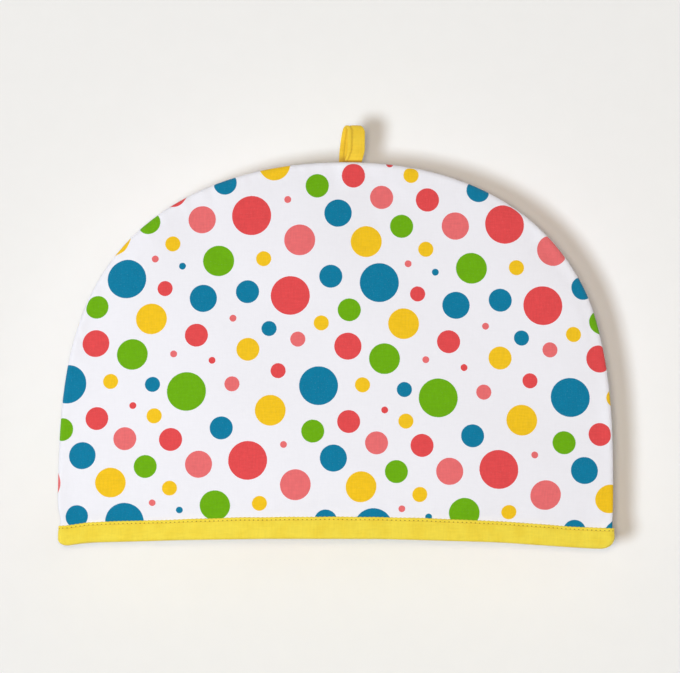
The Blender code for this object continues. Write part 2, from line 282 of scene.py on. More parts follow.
class CosyStage(bpy.types.PropertyGroup):
    """Floor, backdrop, lights and camera."""

    paper: colour_prop("Paper", "Warm white backdrop paper", "#EDEDEF")
    distance: size_prop("Camera distance", "From the camera to the cosy", 6.0)
    camera_height: size_prop("Camera height", "Height of the camera over the floor", -0.012)
    view_width: size_prop("View width", "Width of the view at the cosy", 0.4656)
    view_x: size_prop("View middle", "Middle of the view, across", 0.00175)
    view_z: size_prop("View height", "Middle of the view, up", 0.1443)
    roll: FloatProperty(name="Roll", description="Turn of the camera about its view",
                        default=math.radians(0.35), subtype="ANGLE")
    backdrop: size_prop("Backdrop", "Distance of the backdrop behind the seam", 0.065)
    key: ratio_prop("Key light", "Power of the key light in watts", 190.0)
    fill: ratio_prop("Fill light", "Power of the front fill light in watts", 118.0)
    ambient: ratio_prop("Ambient", "Strength of the surrounding light", 0.13)


# Helpers


def smooth(value):
    value = np.clip(value, 0.0, 1.0)
    return value * value * (3 - 2 * value)


def deselect():
    if bpy.context.mode != "OBJECT":
        bpy.ops.object.mode_set(mode="OBJECT")
    bpy.ops.object.select_all(action="DESELECT")


def add_node(tree, kind, settings=None, inputs=None):
    """Add a shader node, set its settings, and set or link its inputs."""
    node = tree.nodes.new("ShaderNode" + kind)
    for name, value in (settings or {}).items():
        setattr(node, name, value)
    for name, value in (inputs or {}).items():
        if isinstance(value, bpy.types.NodeSocket):
            tree.links.new(value, node.inputs[name])
        else:
            node.inputs[name].default_value = value
    return node


def new_material(name):
    """A material with only its shader and output, and its node tree."""
    material = bpy.data.materials.new(name)
    material.use_nodes = True
    return material, material.node_tree, material.node_tree.nodes["Principled BSDF"]


def grid_faces(first, second, closed=False):
    """Quads between two rows of vertex numbers."""
    first, second = np.asarray(first), np.asarray(second)
    if closed:
        first, second = np.append(first, first[0]), np.append(second, second[0])
    return np.stack([first[:-1], first[1:], second[1:], second[:-1]], axis=1)


def object_from(name, points, faces):
    """A closed mesh object with its faces pointing out, shaded smooth."""
    mesh = bpy.data.meshes.new(name)
    corners = [[k for i, k in enumerate(face) if k != face[i - 1]] for face in faces.tolist()]
    mesh.from_pydata(points.tolist(), [], corners)
    bm = bmesh.new()
    bm.from_mesh(mesh)
    bmesh.ops.recalc_face_normals(bm, faces=bm.faces)
    bm.to_mesh(mesh)
    bm.free()
    mesh.shade_smooth()
    made = bpy.data.objects.new(name, mesh)
    bpy.context.scene.collection.objects.link(made)
    return made


def corner_lists(mesh):
    """The vertex and the face of each face corner."""
    vertex = np.empty(len(mesh.loops), np.int32)
    mesh.loops.foreach_get("vertex_index", vertex)
    total = np.empty(len(mesh.polygons), np.int32)
    mesh.polygons.foreach_get("loop_total", total)
    return vertex, np.repeat(np.arange(len(total)), total)


def store(mesh, name, kind, domain, *columns):
    """An attribute of the mesh, from one array for each of its columns."""
    slot = mesh.attributes.new(name, kind, domain)
    slot.data.foreach_set("color" if kind == "FLOAT_COLOR" else "vector",
                          np.stack(columns, axis=1).astype(np.float32).ravel())


def store_uv(mesh, wide, high):
    """The UV map, across and up, at each face corner."""
    layer = mesh.uv_layers.new(name="UVMap")
    layer.uv.foreach_set("vector", np.stack([wide, high], axis=1).astype(np.float32).ravel())


# Materials


def cotton_weave(tree, place):
    """Height of a plain weave: threads over and under each other."""
    turns = add_node(tree, "VectorMath", {"operation": "SCALE"},
                     {0: place, "Scale": 2 * math.pi / WEAVE_PITCH})
    waves = add_node(tree, "VectorMath", {"operation": "SINE"}, {0: turns.outputs[0]})
    parts = add_node(tree, "SeparateXYZ", inputs={"Vector": waves.outputs[0]}).outputs
    return add_node(tree, "Math", {"operation": "MULTIPLY"}, {0: parts[0], 1: parts[1]}).outputs[0]


def thread_slubs(tree, place, along, across):
    """Uneven threads: noise drawn out along one direction, per metre along and across it."""
    stretch = add_node(tree, "Mapping", inputs={"Vector": place, "Scale": (along, across, 1.0)})
    return add_node(tree, "TexNoise", {"noise_dimensions": "2D"}, {
        "Vector": stretch.outputs[0], "Scale": 1.0, "Detail": 2.0, "Roughness": 0.6}).outputs[0]


def both_slubs(tree, place, scale):
    """Slubs of the threads across and of the threads up, averaged."""
    return add_node(tree, "Mix", {"data_type": "FLOAT"},
                    {"Factor": 0.5, "A": thread_slubs(tree, place, scale / 7, scale),
                     "B": thread_slubs(tree, place, scale, scale / 7)}).outputs[0]


def tinted(tree, colour, factor, darkest, lightest):
    """The colour multiplied by a grey that runs from darkest to lightest with the factor."""
    grey = add_node(tree, "MapRange", inputs={
        "Value": factor, "From Min": 0.3, "From Max": 0.7, "To Min": darkest,
        "To Max": lightest}).outputs[0]
    return add_node(tree, "VectorMath", {"operation": "SCALE"},
                    {0: colour, "Scale": grey}).outputs[0]


def cotton_threads(tree, place, slub_scale):
    """Slubs and weave of a plain-weave cotton."""
    return both_slubs(tree, place, slub_scale), cotton_weave(tree, place)


def matt(shader, roughness, specular, sheen=0.0):
    """How rough the surface is, how much it shines, and how much fuzz lies over it."""
    for name, value in (("Roughness", roughness), ("Specular IOR Level", specular),
                        ("Sheen Weight", sheen)):
        shader.inputs[name].default_value = value


def finish_cloth(tree, shader, shown, slubs, weave, slub_height):
    """The colour of a cloth, with its threads and slubs as relief."""
    tree.links.new(shown, shader.inputs["Base Color"])
    fine = add_node(tree, "Bump", inputs={
        "Height": weave, "Distance": WEAVE_HEIGHT, "Strength": 0.55})
    coarse = add_node(tree, "Bump", inputs={
        "Height": slubs, "Distance": slub_height, "Strength": 0.6, "Normal": fine.outputs[0]})
    tree.links.new(coarse.outputs[0], shader.inputs["Normal"])


def printed_cotton(colours):
    """Bleached plain-weave cotton, screen printed: crisp matt spots that sink into the threads.

    The ink lies thinner where threads cross, so a spot is slightly mottled and its edge follows
    the threads.
    """
    material, tree, shader = new_material("Screen-printed plain-weave cotton")
    place, spot, ink = [add_node(tree, "Attribute", {"attribute_name": name}).outputs[kind]
                        for name, kind in (("cloth_place", "Vector"), ("spot_place", "Vector"),
                                           ("spot_ink", "Color"))]
    slubs, weave = cotton_threads(tree, place, 900.0)
    # How far a place is inside the edge of its spot, whose radius is in the third value.
    away = add_node(tree, "VectorMath", {"operation": "SUBTRACT"}, {0: place, 1: spot}).outputs[0]
    flat = add_node(tree, "VectorMath", {"operation": "MULTIPLY"}, {0: away, 1: (1.0, 1.0, 0.0)})
    distance = add_node(tree, "VectorMath", {"operation": "LENGTH"},
                        {0: flat.outputs[0]}).outputs["Value"]
    radius = add_node(tree, "SeparateXYZ", inputs={"Vector": spot}).outputs["Z"]
    inside = add_node(tree, "Math", {"operation": "SUBTRACT"}, {0: radius, 1: distance}).outputs[0]
    bleed = add_node(tree, "TexNoise", {"noise_dimensions": "2D"},
                     {"Vector": place, "Scale": 1400.0, "Detail": 1.0}).outputs[0]
    ragged = add_node(tree, "Math", {"operation": "MULTIPLY_ADD"},
                      {0: bleed, 1: INK_BLEED, 2: inside}).outputs[0]
    cover = add_node(tree, "MapRange", inputs={
        "Value": ragged, "From Min": INK_EDGE[0], "From Max": INK_EDGE[1]}).outputs[0]
    mottled = tinted(tree, ink, slubs, 0.93, 1.07)
    cloth = tinted(tree, (*colours.cloth, ), slubs, 0.985, 1.01)
    # Bare thread tops in the ink, each a fraction of a millimetre.
    specks = add_node(tree, "TexNoise", {"noise_dimensions": "2D"}, {
        "Vector": place, "Scale": 950.0, "Detail": 2.0, "Roughness": 0.7}).outputs[0]
    bare = add_node(tree, "MapRange", inputs={
        "Value": specks, "From Min": 0.60, "From Max": 0.80, "To Max": 0.04}).outputs[0]
    inked = add_node(tree, "Mix", {"data_type": "RGBA"},
                     {"Factor": bare, "A": mottled, "B": cloth}).outputs["Result"]
    shown = add_node(tree, "Mix", {"data_type": "RGBA"},
                     {"Factor": cover, "A": cloth, "B": inked}).outputs["Result"]
    matt(shader, 0.90, 0.16, 0.04)
    finish_cloth(tree, shader, shown, slubs, weave, 0.10 * MM)
    return material


def plain_cotton(colours):
    """Unbleached plain-weave cotton inside the cosy: matt, with the same uneven threads."""
    material, tree, shader = new_material("Plain-weave cotton lining")
    place = add_node(tree, "TexCoord").outputs["Object"]
    turned = add_node(tree, "Mapping", inputs={
        "Vector": place, "Rotation": (math.radians(90), 0.0, 0.0)}).outputs[0]
    slubs, weave = cotton_threads(tree, turned, 700.0)
    matt(shader, 0.90, 0.20, 0.08)
    finish_cloth(tree, shader, tinted(tree, (*colours.lining, ), slubs, 0.96, 1.02), slubs, weave,
                 0.12 * MM)
    return material


def stitch_shading(tree, along, over, pitch, marks):
    """Painted shade at the needle holes and at the pulled places of the edge, the same every pitch.
    """
    near = add_node(tree, "Math", {"operation": "PINGPONG"}, {0: along, 1: pitch / 2})
    cell = add_node(tree, "CombineXYZ", inputs={"X": near.outputs[0], "Y": over}).outputs[0]
    darkest = 0.0
    for across, wide, high, dark in marks:
        value = cell
        for step, amount in (("SUBTRACT", (0.0, across, 0.0)), ("DIVIDE", (wide, high, 1.0))):
            value = add_node(tree, "VectorMath", {"operation": step},
                             {0: value, 1: amount}).outputs[0]
        length = add_node(tree, "VectorMath", {"operation": "LENGTH"}, {0: value})
        mark = add_node(tree, "MapRange", {"interpolation_type": "SMOOTHSTEP"}, {
            "Value": length.outputs["Value"], "From Min": 0.35, "To Min": dark, "To Max": 0.0})
        darkest = add_node(tree, "Math", {"operation": "MAXIMUM"},
                           {0: darkest, 1: mark.outputs[0]}).outputs[0]
    return darkest


def crease_shading(tree, along, aside, wide, pitch, dark):
    """Painted shade in the line of an edge stitch: a little darker at each needle hole."""
    off = add_node(tree, "Math", {"operation": "ABSOLUTE"}, {0: aside}).outputs[0]
    near = add_node(tree, "Math", {"operation": "PINGPONG"}, {0: along, 1: pitch / 2})
    hollow = add_node(tree, "MapRange", inputs={
        "Value": near.outputs[0], "From Max": pitch / 2, "To Min": dark, "To Max": 0.8 * dark})
    return add_node(tree, "MapRange", {"interpolation_type": "SMOOTHSTEP"}, {
        "Value": off, "From Max": wide, "To Min": hollow.outputs[0], "To Max": 0.0}).outputs[0]


def yellow_cotton(name, colour, stitch=None, shades=(), crease=None):
    """Dyed plain-weave cotton tape: matt and even, deeper in blotches, with painted shade added.

    stitch is the distance from stitch to stitch, and marks as (distance across, half length, half
    width, depth): painted shade, dark at each needle hole and at each pulled place of the edge.
    shades are (start, stop, depth at the start, depth at the stop) of painted shade along the tape,
    where it runs into a seam. crease is (half width, distance per stitch, depth) of the painted
    shade in the line that an edge stitch presses into both faces.
    """
    material, tree, shader = new_material(name)
    place = add_node(tree, "Attribute", {"attribute_name": "cloth_place"}).outputs["Vector"]
    along, over, aside = add_node(tree, "SeparateXYZ", inputs={"Vector": place}).outputs
    slubs, weave = cotton_threads(tree, place, 800.0)
    shown = tinted(tree, colour, slubs, 0.95, 1.05)
    deep = add_node(tree, "VectorMath", {"operation": "MULTIPLY"}, {0: shown, 1: DEEPER}).outputs[0]
    broad = add_node(tree, "TexNoise", {"noise_dimensions": "2D"}, {
        "Vector": place, "Scale": 75.0, "Detail": 3.0, "Roughness": 0.55}).outputs[0]
    blotch = add_node(tree, "MapRange", inputs={
        "Value": broad, "From Min": 0.42, "From Max": 0.70, "To Max": 0.55}).outputs[0]
    layers = [(blotch, deep)]
    if stitch:
        layers.append((stitch_shading(tree, along, over, *stitch), STITCH_SHADE))
    if crease:
        layers.append((crease_shading(tree, along, aside, *crease), CREASE_SHADE))
    # Painted shade along the tape where it runs into a seam.
    for start, stop, first, last in shades:
        seam_shaded = add_node(tree, "MapRange", {"interpolation_type": "SMOOTHSTEP"}, {
            "Value": along, "From Min": start, "From Max": stop, "To Min": first, "To Max": last})
        layers.append((seam_shaded.outputs[0], SEAM_SHADE))
    for factor, above in layers:
        shown = add_node(tree, "Mix", {"data_type": "RGBA"},
                         {"Factor": factor, "A": shown, "B": above}).outputs["Result"]
    matt(shader, 0.82, 0.28, 0.10)
    finish_cloth(tree, shader, shown, slubs, weave, 0.14 * MM)
    return material


def sewing_thread(colour):
    """Spun polyester thread: two twisted plies, slightly glossy along the twist."""
    material, tree, shader = new_material("Spun polyester sewing thread")
    place = add_node(tree, "TexCoord").outputs["Object"]
    twist = add_node(tree, "TexWave", {"bands_direction": "DIAGONAL"},
                     {"Vector": place, "Scale": 900.0, "Distortion": 0.6}).outputs[1]
    # The colour runs darker in the grooves between the plies, with the wave that raises them:
    # painted shade.
    tree.links.new(tinted(tree, colour, twist, 0.86, 1.04), shader.inputs["Base Color"])
    bump = add_node(tree, "Bump", inputs={
        "Height": twist, "Distance": 0.05 * MM, "Strength": 0.5})
    tree.links.new(bump.outputs[0], shader.inputs["Normal"])
    matt(shader, 0.6, 0.4)
    return material


def backdrop_paper(colour):
    """Matt background paper, seen from its front only."""
    material, tree, shader = new_material("Matt background paper")
    place = add_node(tree, "TexCoord").outputs["Object"]
    fibre = add_node(tree, "TexNoise",
                     inputs={"Vector": place, "Scale": 60.0, "Detail": 4.0}).outputs[0]
    tree.links.new(tinted(tree, colour, fibre, 0.995, 1.005), shader.inputs["Base Color"])
    matt(shader, 1.0, 0.0)
    behind = add_node(tree, "NewGeometry").outputs["Backfacing"]
    clear = add_node(tree, "BsdfTransparent").outputs[0]
    mixed = add_node(tree, "MixShader", inputs={0: behind, 1: shader.outputs[0], 2: clear})
    tree.links.new(mixed.outputs[0], tree.nodes["Material Output"].inputs["Surface"])
    return material


# Panels


def outline_share(s, x, z):
    """0 at the middle of the hem, 1 on the outline."""
    return np.abs(x / s.half_width) ** s.side_power + (np.maximum(z, 0) / s.height) ** s.top_power


def slope(s, x, z):
    """Steepness of the outline share along x and z."""
    p, q = s.side_power, s.top_power
    along_x = np.sign(x) * p * np.abs(x) ** (p - 1) / s.half_width ** p
    along_z = q * np.maximum(z, 0) ** (q - 1) / s.height ** q
    return along_x, along_z


def inward(s, x, z):
    """The direction straight in from the outline."""
    along_x, along_z = slope(s, x, z)
    length = np.hypot(along_x, along_z)
    return -along_x / length, -along_z / length


def leaned(s, x, z):
    """Where a point of the even dome goes as sewn: it leans, and its right side is fuller."""
    level = np.exp(-((z - s.bulge_height) / s.bulge_reach) ** 2)
    bulge = s.bulge * np.clip(x / s.half_width, 0, 1) ** 4 * level
    return x + s.lean * z / s.height + bulge, z * (1 + s.shoulder * x / s.half_width)


def swollen(s, x, height):
    """How far a place across the panel moves out above the binding, where the padding is free."""
    free = smooth((height - s.puff_start) / s.swell_rise)
    return x * (1 + s.side_swell / s.half_width * free) - s.side_shift * free


def belly(s, x, z):
    """How far the inner face of a wall stands off the seam plane."""
    inside = (1 - outline_share(s, x, z) - s.seam_allowance) / (1 - s.seam_allowance)
    return s.belly * np.maximum(inside, 0) ** s.belly_power * (1 - s.belly_taper * z / s.height)


def wall_thickness(s, x, z, height):
    """Thickness of a padded wall: flat in the binding, rising from the seam."""
    risen = 1 - np.minimum(outline_share(s, x, z), 1) ** s.puff_power
    free = s.rim_thickness + (s.wall_thickness - s.rim_thickness) * risen
    puff = smooth((height - s.puff_start) / (s.puff_end - s.puff_start))
    return s.hem_thickness + (free - s.hem_thickness) * puff


def hem_lift(s, x, side):
    """Height of the underside of the hem over the surface."""
    share = np.where(np.asarray(side) == FRONT, s.front_bow, s.back_bow)
    across, up = np.array(HEM_BOW).T * MM
    eased = np.mean([np.interp(x + step * MM, across, up) for step in range(-6, 7, 2)], axis=0)
    return share * eased


def rounded_ends(s, points):
    """The points with the lower corners at both ends of the hem rounded off."""
    points = points.copy()
    x, z = points[..., 0], points[..., 2]
    outermost = s.half_width + 0.002
    for corner, way in ((s.left_corner, -1), (s.right_corner, 1)):
        reach = 2.5 * corner
        low = np.clip(z, 0, corner)
        kept = (reach - corner + np.sqrt(corner ** 2 - (corner - low) ** 2)) / reach
        outside = np.maximum(way * x - (outermost - reach), 0)
        points[..., 0] -= way * outside * (1 - kept) * smooth(outside / reach * 2)
    return points


def strap_room(strap, x, z):
    """How far each wall gives way to the legs of the strap in the seam, easing off all round."""
    clearance, ease_across, ease_down = 0.0001, 0.005, 0.014
    off = np.abs(x - (strap.front_x + strap.back_x) / 2)
    beside = smooth((0.62 * strap.width + 0.0035 - off) / ease_across)
    above = smooth((z - strap.tab_foot + 0.016) / ease_down)
    return (strap.thickness + clearance) * beside * above


def rim_stations(s):
    """Outline points from the right end of the hem over the top to the left, and side heights."""
    shoulder = s.height * math.sin(SHOULDER_ANGLE) ** (2 / s.top_power)
    bound = np.array([0.0015, 0.0060, 0.0105, 0.0145])
    puff = np.linspace(s.puff_start, s.puff_end, 16)
    side_z = np.concatenate([bound, puff, np.linspace(s.puff_end, shoulder, SIDE_ROWS + 1)[1:-1]])
    side_x = s.half_width * (1 - (side_z / s.height) ** s.top_power) ** (1 / s.side_power)
    turn = np.linspace(SHOULDER_ANGLE, math.pi - SHOULDER_ANGLE, TOP_COLUMNS + 1)
    arch_x = s.half_width * np.sign(np.cos(turn)) * np.abs(np.cos(turn)) ** (2 / s.side_power)
    arch_z = s.height * np.sin(turn) ** (2 / s.top_power)
    x = np.concatenate([side_x, arch_x, -side_x[::-1]])
    z = np.concatenate([side_z, arch_z, side_z[::-1]])
    return x, z, side_z


def seeded_waves(seed, kinds):
    """Seeded waves as (wavelength, height, direction, phase)."""
    draw = random.Random(seed)
    return [(length * draw.uniform(0.8, 1.25), height, draw.uniform(0, math.pi),
             draw.uniform(0, 2 * math.pi))
            for length, height, count in kinds for _ in range(count)]


def relief(seed, kinds, tallest, run):
    """A sum of seeded waves; run gives how far along a direction each point lies."""
    return sum(tallest * share * np.sin(2 * math.pi * run(way) / length + phase)
               for length, share, way, phase in seeded_waves(seed, kinds))


def seam_distance(s, x, z):
    """Roughly how far a point is from the outline."""
    along_x, along_z = slope(s, x, z)
    return np.maximum(1 - outline_share(s, x, z), 0) / np.maximum(np.hypot(along_x, along_z), 2.0)


def ripples(s, x, z, height, side):
    """Relief of the padded cloth: broad ripples, gathers over the binding, puckers by the seam."""
    gather_foot, gather_reach, pucker_reach, seam_run = 0.021, 0.010, 0.0075, 0.27
    around = np.arctan2(z / s.height, x / s.half_width) * seam_run
    broad = relief(11 + side, BROAD_RIPPLES, s.ripple,
                   lambda way: x * math.cos(way) + z * math.sin(way))
    gathers = relief(31 + side, GATHERS, s.gather, lambda way: x + 0.15 * z * math.cos(way))
    puckers = relief(51 + side, PUCKERS, s.pucker, lambda way: around)
    from_seam = seam_distance(s, x, z)
    over = np.exp(-np.maximum(height - gather_foot, 0) / gather_reach) * smooth(from_seam / 0.006)
    beside = np.exp(-from_seam / pucker_reach)
    free = smooth((height - s.puff_start) / 0.006)
    return free * (broad * smooth(from_seam / 0.012) + gathers * over + puckers * beside)


def settled(s, rest, side, height, from_seam):
    """Where the outer cloth of a panel goes when it is let go over its padding.

    The sheet is held where it is sewn, the padding holds the rest of it softly and pushes it out,
    and the cloth is cut a little larger than the padding, so that it gathers over the binding and
    puckers along the seam. The result is capped, and no Cloth is left in the scene.
    """
    scene = bpy.context.scene
    number = np.arange(height.size).reshape(height.shape)
    faces = np.concatenate([grid_faces(first, second) for first, second in zip(number, number[1:])])
    mesh = bpy.data.meshes.new("loose sheet")
    mesh.from_pydata(rest.reshape(-1, 3).tolist(), [], faces.tolist())
    mesh.update()
    if mesh.polygons[len(faces) // 2].normal.y * side < 0:
        mesh.flip_normals()
    sheet = bpy.data.objects.new("loose sheet", mesh)
    scene.collection.objects.link(sheet)

    sewn_height, hem_top, hem_reach, seam_reach = 0.0155, 0.016, 0.026, 0.008
    held = np.full(height.shape, s.hold)
    held[:, 0] = held[:, -1] = held[-1] = 1.0
    held[height < sewn_height] = 1.0
    by_hem = s.hem_ease * np.exp(-np.maximum(height - hem_top, 0) / hem_reach)
    by_seam = s.seam_ease * np.exp(-np.maximum(from_seam - s.rim_band, 0) / seam_reach)
    larger = np.maximum(np.maximum(by_hem, by_seam), s.ease)
    for name, weights in (("held", held), ("larger", larger / larger.max())):
        group = sheet.vertex_groups.new(name=name)
        for point, weight in enumerate(weights.ravel().tolist()):
            group.add([point], weight, "REPLACE")

    loose = sheet.modifiers.new("Cloth", "CLOTH")
    for name, value in CLOTH.items():
        setattr(loose.settings, name, value)
    loose.settings.shrink_min, loose.settings.shrink_max = 0.0, -float(larger.max())
    loose.settings.uniform_pressure_force = s.pressure
    loose.settings.effector_weights.gravity = 0
    loose.collision_settings.use_collision = False
    loose.point_cache.frame_start, loose.point_cache.frame_end = 1, SETTLING_STEPS
    for step in range(1, SETTLING_STEPS + 1):
        scene.frame_set(step)
    found = sheet.evaluated_get(bpy.context.evaluated_depsgraph_get())
    places = np.empty(height.size * 3, np.float32)
    found.data.vertices.foreach_get("co", places)
    moved = places.reshape(rest.shape) - rest
    bpy.data.objects.remove(sheet)
    bpy.data.meshes.remove(mesh)
    scene.frame_set(1)
    far = np.maximum(np.linalg.norm(moved, axis=-1, keepdims=True), 1e-9)
    return rest + moved * (s.most_moved * np.tanh(far / s.most_moved) / far)


def print_place(p, x, z, side):
    """Where a point of a panel lies on the printed cloth, in metres."""
    low_band, low_fade, middle_share = 0.050, 0.028, 0.4
    low = smooth((low_band - z) / low_fade)
    if side == BACK:
        x, z = p.back_shift[0] - x, z + p.back_shift[1]
    (reach_x, reach_z), (middle_x, middle_z) = PRINT_REACH, PRINT_MIDDLE
    cos, sin = math.cos(p.turn), math.sin(p.turn)
    u = middle_x + cos * (x - middle_x) + sin * (z - middle_z)
    v = middle_z - sin * (x - middle_x) + cos * (z - middle_z)
    far, high = x / reach_x, z / reach_z
    up = (p.rise + p.bow * (1 - (u / reach_x) ** 2) + p.twist * far * high + p.climb * high
          + p.top_climb * np.clip(high, 0, 1) ** 12
          + p.side_rise * low * np.maximum(np.abs(far) - middle_share, 0) / (1 - middle_share))
    left = p.shift - (p.sway - p.spread * far) * high - low * (p.drag + p.drag_spread * x)
    return u - left, v - up


def spot_list(p):
    """Every spot near a panel: middle and radius in metres, and ink."""
    widest, lowest, highest = 0.31, -0.06, 0.36
    spots = []
    for ink, size, x, z in SPOTS:
        for m in range(-3, 4):
            for n in range(-3, 4):
                u, v = [place * MM + m * p.across[k] + n * p.down[k]
                        for k, place in enumerate((x, z))]
                if abs(u) < widest and lowest < v < highest:
                    spots.append((u, v, SPOT_SIZES[size] * MM / 2, *getattr(p, ink)))
    return np.array(spots)


def panel_grid(s, inner_x, inner_z, side_z):
    """Rows across a panel, inside its rolled edge, from the hem to the arch: x, z and height."""
    rows, columns = len(side_z), TOP_COLUMNS
    top_x, top_z = inner_x[rows:rows + columns + 1], inner_z[rows:rows + columns + 1]
    across = 1 - 2 * np.arange(columns + 1) / columns
    start = np.append(side_z, top_z[0])[:, None]
    arching = smooth((start - s.puff_end) / (top_z[0] - s.puff_end))
    x = across * inner_x[:rows + 1, None] + arching * (top_x - across * top_x[0])
    z = inner_z[:rows + 1, None] + arching * (top_z - top_z[0])
    return x, z, np.repeat(start, columns + 1, axis=1)


def store_print(mesh, p, u, v):
    """Where each point lies on the cloth and, for each face, the spot that it lies on or near."""
    store(mesh, "cloth_place", "FLOAT_VECTOR", "POINT", u, v, 0 * u)
    vertex, face = corner_lists(mesh)
    middle = np.stack([np.bincount(face, value[vertex]) / np.bincount(face) for value in (u, v)],
                      axis=1)
    spots, at_once = spot_list(p), 4000
    nearest = np.empty(len(middle), np.int64)
    for start in range(0, len(middle), at_once):
        gap = np.linalg.norm(middle[start:start + at_once, None] - spots[None, :, :2], axis=2)
        nearest[start:start + at_once] = (gap - spots[:, 2]).argmin(axis=1)
    chosen = spots[nearest].T
    store(mesh, "spot_place", "FLOAT_VECTOR", "FACE", *chosen[:3])
    store(mesh, "spot_ink", "FLOAT_COLOR", "FACE", *chosen[3:], np.ones(len(nearest)))


def map_panel(mesh, kinds, flat, stand_off):
    """The UV map: printed cloth on the left three quarters, the rest beside it."""
    vertex, face = corner_lists(mesh)
    kind, at = kinds[face], flat[vertex]
    wide, tall = (at[:, 0] + 0.205) / 0.41, (at[:, 1] + 0.006) / 0.30  # shares of 410 x 300 mm
    under = np.abs(stand_off[vertex]) / 0.05
    store_uv(mesh, np.where(kind == PRINTED, 0.004 + 0.742 * wide, 0.754 + 0.242 * wide),
             np.where(kind == UNDER, 0.002 + 0.020 * under, 0.028 + 0.965 * tall))


def edge_profile(s, radius):
    """The rolled edge as (distance in from the outline, share of the wall's thickness).

    First its printed part, from the outer face round the bend, then the plain part behind it.
    """
    printed = [(s.rim_band - (s.rim_band - radius) * f, 1.0) for f in (0.25, 0.5, 0.75, 1.0)]
    printed += [(radius * (1 - math.cos(angle)), (1 + math.sin(angle)) / 2)
                for angle in np.radians(RIM_TURNS)]
    return printed, [(radius, 0.0), ((s.rim_band + radius) / 2, 0.0)]


def laid_flat(s, p, places, even_x, even_z):
    """Where points of the faces lie on the cloth, as seen straight from the front.

    The cloth closes up where the wall stands off, is taken up by the binding and turns away along
    the seam. even_x and even_z are the same points on the even dome.
    """
    taken_below, fade = 0.034, 0.018
    middle = np.array(FACE_MIDDLE)
    flat = middle + (places[:, [0, 2]] - middle) * (1 + p.give * np.abs(places[:, 1:2]))
    flat[:, 1] -= p.take_up * smooth((taken_below - places[:, 2]) / fade)
    turned = p.edge_turn * np.clip(1 - seam_distance(s, even_x, even_z) / p.edge_band, 0, 1) ** 2
    return flat - turned[:, None] * np.stack(inward(s, even_x, even_z), axis=1)


def build_panel(name, side, materials):
    scene = bpy.context.scene
    s, p, strap = scene.cosy_shape, scene.cosy_print, scene.cosy_strap
    x, z, side_z = rim_stations(s)
    rows = len(side_z)
    way_x, way_z = inward(s, x, z)
    grid_x, grid_z, grid_h = panel_grid(
        s, x + s.rim_band * way_x, z + s.rim_band * way_z, side_z)

    def placed(px, pz, height, depth):
        lift = hem_lift(s, px, side) * (1 - smooth(height / s.lift_fade))
        y = s.seam_gap + belly(s, px, pz) + strap_room(strap, px, pz) + depth
        out_x, out_z = leaned(s, swollen(s, px, height), pz)
        return rounded_ends(s, np.stack([out_x, side * y, out_z + lift], axis=-1))

    # Both faces are the same grid.
    raised = ripples(s, grid_x, grid_z, grid_h, side)
    outer = placed(grid_x, grid_z, grid_h, wall_thickness(s, grid_x, grid_z, grid_h) + raised)
    drawn = outer.reshape(-1, 3)
    outer = settled(s, outer, side, grid_h, seam_distance(s, grid_x, grid_z))
    inner = placed(grid_x, grid_z, grid_h, 0.3 * ripples(s, grid_x, grid_z, grid_h, side + 5))
    count = grid_x.size
    number = np.arange(count).reshape(grid_x.shape)
    points = [outer.reshape(-1, 3), inner.reshape(-1, 3)]
    faces, kinds = [], []

    def take(first, second, kind):
        faces.append(grid_faces(first, second))
        kinds.append(np.full(len(faces[-1]), kind))

    for row in range(rows):
        take(number[row], number[row + 1], PRINTED)
        take(number[row] + count, number[row + 1] + count, PLAIN)

    # The rolled edge: rows of points round it, from the outer face to the inner one.
    border = np.concatenate([number[:rows, 0], number[rows], number[:rows, -1][::-1]])
    printed, plain = edge_profile(s, wall_thickness(s, x, z, z) / 2)
    band, band_points = [border], [points[0][border]]
    even_x, even_z = [grid_x.ravel()] * 2, [grid_z.ravel()] * 2
    for step, (distance, share) in enumerate(printed + plain):
        px, pz = x + distance * way_x, z + distance * way_z
        even_x.append(px)
        even_z.append(pz)
        depth = share * (wall_thickness(s, px, pz, z) + ripples(s, px, pz, z, side))
        band_points.append(placed(px, pz, z, depth))
        band.append(2 * count + step * len(x) + np.arange(len(x)))
    points += band_points[1:]
    band.append(border + count)
    for step in range(len(band) - 1):
        take(band[step], band[step + 1], PRINTED if step < len(printed) else PLAIN)

    # The underside: between the two faces, and across the two ends of the rolled edge.
    take(number[0], number[0] + count, UNDER)
    for end in (0, -1):
        ring = [row[end] for row in band]
        half = len(ring) // 2
        take(ring[:half], ring[::-1][:half], UNDER)

    points, kinds = np.concatenate(points), np.concatenate(kinds)
    piece = object_from(name, points, np.concatenate(faces))
    mesh = piece.data
    for material in materials:
        mesh.materials.append(material)
    slots = np.where(kinds == PRINTED, PRINTED, PLAIN).astype(np.int32)
    mesh.polygons.foreach_set("material_index", slots)

    # Places on the cloth: straight from the front over the faces, and by length round the edge.
    flat = laid_flat(s, p, np.concatenate([drawn, drawn, points[2 * count:]]),
                     np.concatenate(even_x), np.concatenate(even_z))
    length = np.zeros(len(x))
    for step in range(1, len(band) - 1):
        length = length + np.linalg.norm(band_points[step] - band_points[step - 1], axis=1)
        flat[band[step], 0] = flat[border, 0] - way_x * length
        flat[band[step], 1] = flat[border, 1] - way_z * length
    store_print(mesh, p, *print_place(p, flat[:, 0], flat[:, 1], side))
    map_panel(mesh, kinds, flat, points[:, 1])
    return piece


# Binding


